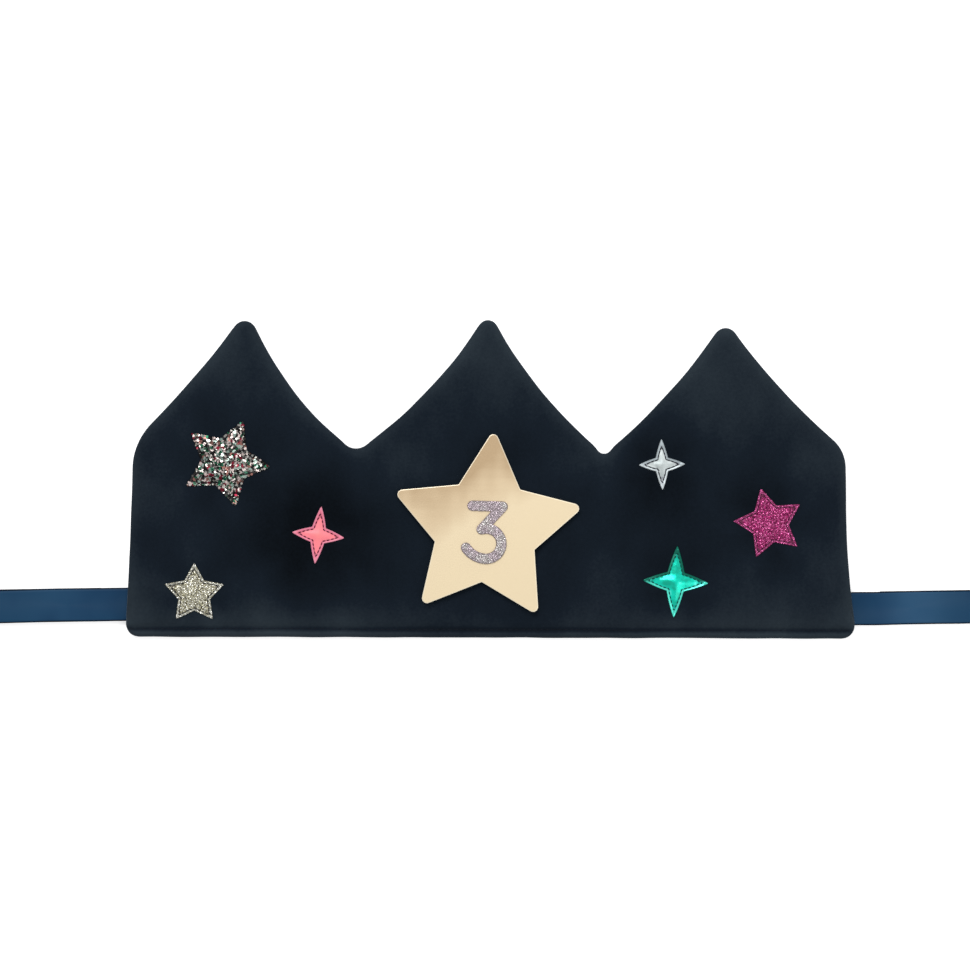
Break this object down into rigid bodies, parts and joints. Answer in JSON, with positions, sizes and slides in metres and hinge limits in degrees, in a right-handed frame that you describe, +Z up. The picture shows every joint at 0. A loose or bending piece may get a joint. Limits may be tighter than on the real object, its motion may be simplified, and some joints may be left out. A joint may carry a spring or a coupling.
{
  "type": "birthday crown",
  "caption": "Sewn and padded velvet dress-up crown with three points, satin ribbon ties, sewn-on stars and sparkles, and a gold star that carries a changeable age number.",
  "frame": {"origin": "on the surface that the crown lies on, under the middle of its box", "axes": "+X along the hem, to the right as the face is seen; +Y from the hem to the points; +Z up, out of the decorated face"},
  "size_m": [0.4802, 0.1518, 0.0128],
  "materials": {
    "velvet": "navy cotton velvet, short pile with a soft sheen",
    "wadding": "white polyester wadding",
    "satin_ribbon": "navy double-face satin with woven edges",
    "loop_tape": "navy soft loop tape",
    "hook_tape": "navy hook tape",
    "gold_leatherette": "pale metallic gold leatherette",
    "lilac_glitter": "lilac silver fine glitter fabric",
    "multicolour_glitter": "chunky multicolour glitter fabric",
    "gold_glitter": "fine pale gold glitter fabric",
    "magenta_glitter": "fine magenta glitter fabric",
    "pink_leatherette": "matt neon pink leatherette",
    "silver_foil": "crinkled silver foil leatherette",
    "green_foil": "crinkled sea green foil leatherette"
  },
  "bodies": {
    "root": {"front_panel": "velvet", "back_panel": "velvet", "wadding": "wadding", "left_ribbon": "satin_ribbon", "right_ribbon": "satin_ribbon", "loop_patch": "loop_tape", "hook_patch": "hook_tape", "number_star": "gold_leatherette", "numeral_three": "lilac_glitter", "glitter_star_multicolour": "multicolour_glitter", "glitter_star_gold": "gold_glitter", "glitter_star_magenta": "magenta_glitter", "sparkle_pink": "pink_leatherette", "sparkle_silver": "silver_foil", "sparkle_green": "green_foil"}
  },
  "joints": []
}
